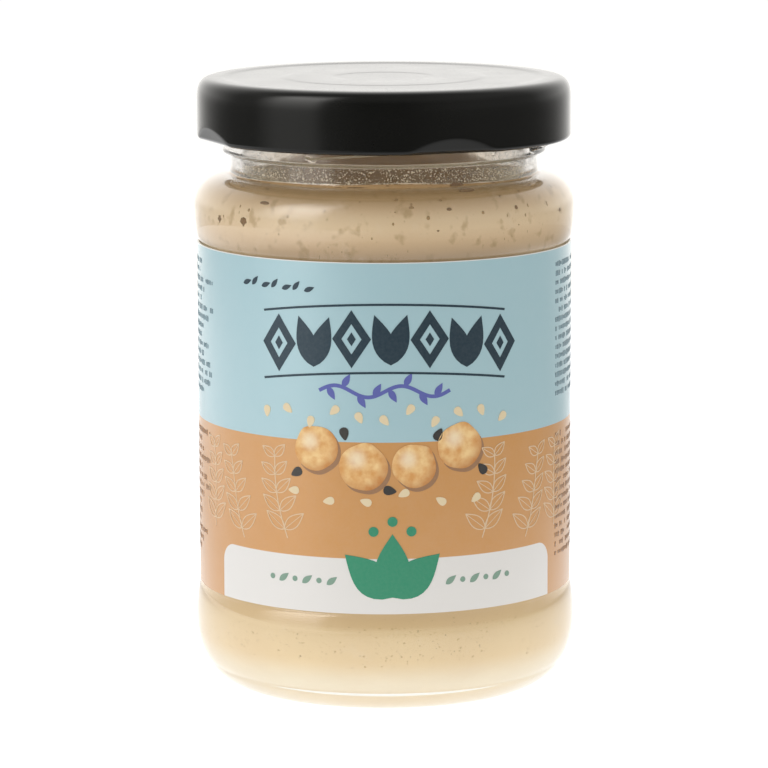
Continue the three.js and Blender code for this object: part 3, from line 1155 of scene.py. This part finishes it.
def pea(u, v, size, turn):
    """A round pea with a blunt beak and a shallow cleft."""
    shape = []
    for a in angles(40):
        beak = 0.14 * math.exp(-((a - math.pi / 2) / 0.35) ** 2)
        cleft = 0.07 * math.exp(-((a - 1.5 * math.pi) / 0.4) ** 2)
        r = size * (1 + beak - cleft + 0.02 * math.sin(3 * a))
        shape.append((r * math.cos(a), 0.95 * r * math.sin(a)))
    return spun(u, v, turn, shape)


def peas(du=0.0, dv=0.0):
    return [
        pea(u + du, v + dv, size, 40 * math.sin(5.0 * i + 1))
        for i, (u, v, size) in enumerate(PEAS)
    ]


def pale_seeds():
    shapes = []
    for i in range(11):
        u = -20 + 4 * i
        shapes.append(drop(u, UPPER_SEEDS_V + 1.1 * math.sin(i * 2.4), 1.9, 1.2, 90 + 50 * math.sin(i * 1.7)))
    for i in range(6):
        u = -15 + 6 * i
        shapes.append(drop(u, LOWER_SEEDS_V + 0.9 * math.cos(i * 2.1), 1.9, 1.2, 40 * math.sin(i * 2.9)))
    return shapes


def dark_seeds():
    return [drop(u, v, 2.1, 1.4, 30 + 70 * i) for i, (u, v) in enumerate(DARK_SEEDS)]


def leaf_drawings():
    """Pale line drawings of leafy branches on the tan ground."""
    shapes = []
    for side in (-1, 1):
        for branch, (start, foot_v, lean) in enumerate(BRANCHES):
            count = 10
            stem = []
            for i in range(count):
                sway = 0.8 * math.sin(i / 3 + branch)
                stem.append((side * (start + lean * i + sway), foot_v + i * 1.45))
            shapes.append(stroke(stem, 0.2))
            for i in range(1, count, 2):
                for turn in (38, 142):
                    long, wide = 4.6 - 0.2 * i, 2.0 - 0.06 * i
                    blade = leaf(stem[i][0], stem[i][1], long, wide, turn + 8 * math.sin(3 * i))
                    shapes += outlined(blade, 0.17)
                    shapes.append(stroke([blade[0], blade[10]], 0.12))
    return shapes


def small_mark():
    """A row of small leaves above the heading."""
    return [leaf(-25 + 2.0 * i, SMALL_MARK_V - 0.06 * i, 1.9, 0.8, 50 if i % 2 else 20) for i in range(7)]


def small_print(name, material, seed, foot, top, left, right, least):
    """Rows of small blocks in the place of small print. Each row fills at least this share of the width."""
    growth = Growth(
        name,
        Left=left,
        Right=right,
        Foot=foot,
        Top=top,
        Pitch=1.5,
        Marks=46,
        Least=least,
        Keep=0.82,
        Seed=seed,
    )
    given = growth.given
    marks, first_seed = given("Marks"), given("Seed")
    index = growth.node("GeometryNodeInputIndex")
    rows = ((given("Top") - given("Foot")) / given("Pitch")).floor()
    row = (index / marks).floor()
    column = index - row * marks
    pitch = (given("Right") - given("Left")) / marks
    angle = (given("Left") + (column + 0.5) * pitch) / LABEL_R
    reach_r = growth.draw(LABEL_R * MM, (LABEL_R + 0.01) * MM, first_seed + 1)
    place = growth.round_jar(reach_r, angle, (given("Top") - row * given("Pitch")) * MM)
    block = growth.node("GeometryNodeMeshCube", {"Size": (MM, MM, MM)})
    fill = {2: given("Least"), 3: 1.0, "ID": row, "Seed": first_seed + 2}
    share = growth.node("FunctionNodeRandomValue", fill, out=1)
    chance = growth.draw(0.0, 1.0, first_seed + 3)
    kept = chance.maths("LESS_THAN", chance, given("Keep"))
    shown = kept * column.maths("LESS_THAN", column, share * marks)
    wide = pitch * growth.draw(0.45, 0.9, first_seed + 4)
    tall = growth.draw(0.5, 0.95, first_seed + 5)
    scale = growth.vector(wide, BLOCK_THICK, tall)
    placed = growth.planted(rows * marks, place, block, angle, scale, shown)
    return dress(growth.grown(placed, material), material, "label_paper")


def print_label():
    navy = ink_finish("navy ink", colour(0, 44, 60))
    brown = ink_finish("brown ink", colour(162, 120, 82))
    slate = ink_finish("slate ink", colour(112, 140, 150))
    printed("heading_tiles", title_row() + small_mark(), navy)
    printed("vine", vine(), ink_finish("violet ink", colour(88, 96, 172)))
    printed("leaf_drawings", leaf_drawings(), ink_finish("pale ink", colour(226, 196, 158)))
    printed("pea_shades", peas(0.45, -0.6), ink_finish("shade ink", colour(158, 116, 78)), 1)
    printed("printed_peas", peas(), pea_finish(), 2)
    printed("pale_seeds", pale_seeds(), ink_finish("seed ink", colour(232, 212, 172)), 2)
    printed("dark_seeds", dark_seeds(), ink_finish("dark ink", colour(42, 38, 34)), 2)
    printed("green_sprig", sprig(), ink_finish("green ink", colour(30, 142, 104)), 2)
    printed("strip_marks", strip_marks(), ink_finish("grey-green ink", colour(128, 160, 140)))
    small_print("left_blue_print", slate, 41, 47.0, 70.4, -66.0, -33.6, 0.75)
    small_print("left_tan_print", brown, 43, 21.0, 42.6, -66.0, -36.0, 0.75)
    small_print("right_blue_print", slate, 45, 47.0, 70.4, 34.2, 66.6, 0.6)
    small_print("right_tan_print", brown, 47, 21.0, 42.6, 34.2, 66.6, 0.6)


# Stage, light and camera

CAMERA_BACK = 667.0
CAMERA_UP = 158.2
CAMERA_TILT = 9.31
CAMERA_ROLL = -0.15
CAMERA_SHIFT = -0.0007
LENS = 192.7
FLOOR_R = 450
FLOOR_GLOW = 0.85
AMBIENT = 0.44
BACKLIGHT = 0.75
BACKDROP = 1.05
FRONT = 0.4
WARM = (1.0, 0.985, 0.955, 1.0)
BEHIND_GLOW = 1.5
BEHIND_LOW = 1.45
COOL = (0.985, 1.0, 1.02, 1.0)
CARD_DEG = (-77, -46, -34)
CARD_SOFT_DEG = 8
CARD_GLOW = 0.7
CARD_RISE = 7
SIDE_LOW_GLOW = 0.12
SIDE_HIGH_GLOW = 0.18
OVERHEAD_GLOW = 0.25
ROOM_GLOW = 0.05
NEAR_FLOOR = 1.3
FLOOR_DIM = (0.06, 0.06, 0.06, 1.0)
FLOOR_BRIGHT = (2.0, 2.0, 2.0, 1.0)
LIT_POINT = (0, 0, 0.05)
PLAIN_LIGHT = (1.0, 1.0, 1.0)
DAYLIGHT = (0.96, 1.0, 1.06)
KEY_LIGHT = (0.96, 1.0, 1.08)


def dusk(finish, depth):
    """How bright mirrors see the room behind the jar, below the horizon.

    Depth is 1 straight behind the jar and 0 at its sides.
    """
    behind = finish.band(depth, 0.2, 0.97)
    return behind * behind * behind * BEHIND_LOW


def floor():
    """A round white light table."""
    rim = [on_cylinder(FLOOR_R, deg, -0.02) for deg in range(0, 360, 5)]
    piece = mesh_piece("floor", rim, [list(range(len(rim)))])
    finish = Finish("pale floor")
    tone = finish.mix(finish.noise(40.0), colour(150, 150, 150), colour(156, 156, 156))
    aside, depth, _ = finish.split(finish.place())
    left = finish.band(aside, -0.05, -0.2)
    near = finish.band(finish.radius(), 0.3, 0.05, "SMOOTHSTEP").high(left) * NEAR_FLOOR
    mirrored = mirror_rays(finish)
    room = near.high(dusk(finish, depth / finish.radius())) * 0.5
    seen = finish.mix(room, FLOOR_DIM, FLOOR_BRIGHT)
    glow = finish.mix(mirrored, WHITE, seen)
    table = finish.surface(
        {
            "Base Color": finish.mix(mirrored, tone, (0.02, 0.02, 0.02, 1.0)),
            "Roughness": 0.7,
            "Emission Color": glow,
            "Emission Strength": FLOOR_GLOW,
        }
    )
    piece.data.materials.append(finish.output(table))


def camera():
    data = bpy.data.cameras.new("camera")
    data.sensor_width = 36
    data.lens = LENS
    data.shift_x = CAMERA_SHIFT
    data.clip_start = 0.05
    view = added("camera", data)
    view.location = (0, -CAMERA_BACK * MM, CAMERA_UP * MM)
    view.rotation_euler = (math.radians(90 - CAMERA_TILT), 0, 0)
    view.rotation_euler.rotate_axis("Z", math.radians(CAMERA_ROLL))
    bpy.context.scene.camera = view


def softbox(name, where, size, power, tone):
    data = bpy.data.lights.new(name, "AREA")
    data.shape = "RECTANGLE"
    data.size, data.size_y = size
    data.energy = power
    data.color = tone
    lamp = added(name, data)
    lamp.location = where
    lamp.rotation_euler = (Vector(LIT_POINT) - Vector(where)).to_track_quat("-Z", "Y").to_euler()
    lamp.visible_glossy = False


def world():
    """A white surround.

    Mirrors see a white backdrop behind the jar, and a dim room in front with one soft card in it.
    """
    sky = Finish("studio", bpy.data.worlds.new("studio"))
    way = sky.node("TexCoord", out="Generated")
    across, depth, up = sky.split(way)
    behind = sky.band(depth, 0.25, 0.97)
    turn = across.maths("ARCTAN2", across, 0 - depth).degrees()
    start, full, end = CARD_DEG
    lit = sky.band(turn, start - CARD_SOFT_DEG, start + CARD_SOFT_DEG)
    lit = lit * sky.band(turn, end, full, "SMOOTHSTEP")
    lit = lit * (sky.band(up, -0.05, 0.75) * CARD_RISE + 1) * sky.band(up, 0.94, 0.66)
    sides = sky.band(across.size(), 0.2, 0.8)
    overhead = sky.band(up, 0.35, 0.7)
    high = sky.band(up, -0.1, 0.05)
    behind = behind * BEHIND_GLOW * high + dusk(sky, depth) * (1 - high)
    sides = sides * (high * SIDE_HIGH_GLOW + SIDE_LOW_GLOW)
    mirrored = behind + lit * CARD_GLOW + sides + overhead * OVERHEAD_GLOW + ROOM_GLOW
    mirror = mirror_rays(sky)
    diffuse = sky.node("LightPath", out="Is Diffuse Ray")
    soft = sky.band(depth, 0.0, 1.0) * (BACKLIGHT - AMBIENT) + AMBIENT
    clearly = sky.band(depth, 0.1, 0.7) * (BACKDROP - FRONT) + FRONT
    strength = mirror * mirrored + diffuse * soft + (1 - mirror - diffuse) * clearly
    cool = sky.band(depth, -0.6, 0.4) * diffuse
    background = sky.node("Background", {"Color": sky.mix(cool, WARM, COOL), "Strength": strength})
    bpy.context.scene.world = sky.output(background, "OutputWorld")


def studio():
    world()
    softbox("key", (-0.95, -0.55, 0.35), (0.8, 1.0), 3.7, KEY_LIGHT)
    softbox("fill", (1.1, -0.5, 0.5), (0.6, 0.8), 1.8, DAYLIGHT)
    softbox("top", (0.0, 0.3, 1.3), (1.2, 0.9), 3, PLAIN_LIGHT)
    bpy.context.scene.view_settings.view_transform = "Standard"


glass = glass_finish()
glass_jar(glass)
dip(dip_finish())
lid(
    sheet_finish("black lacquer", colour(20, 20, 18), colour(28, 28, 26), 0.14),
    sheet_finish("cream enamel", colour(230, 222, 200), colour(240, 234, 216), 0.3),
)
label(label_finish())
flecks()
dew()
knurls(glass)
print_label()
floor()
camera()
studio()
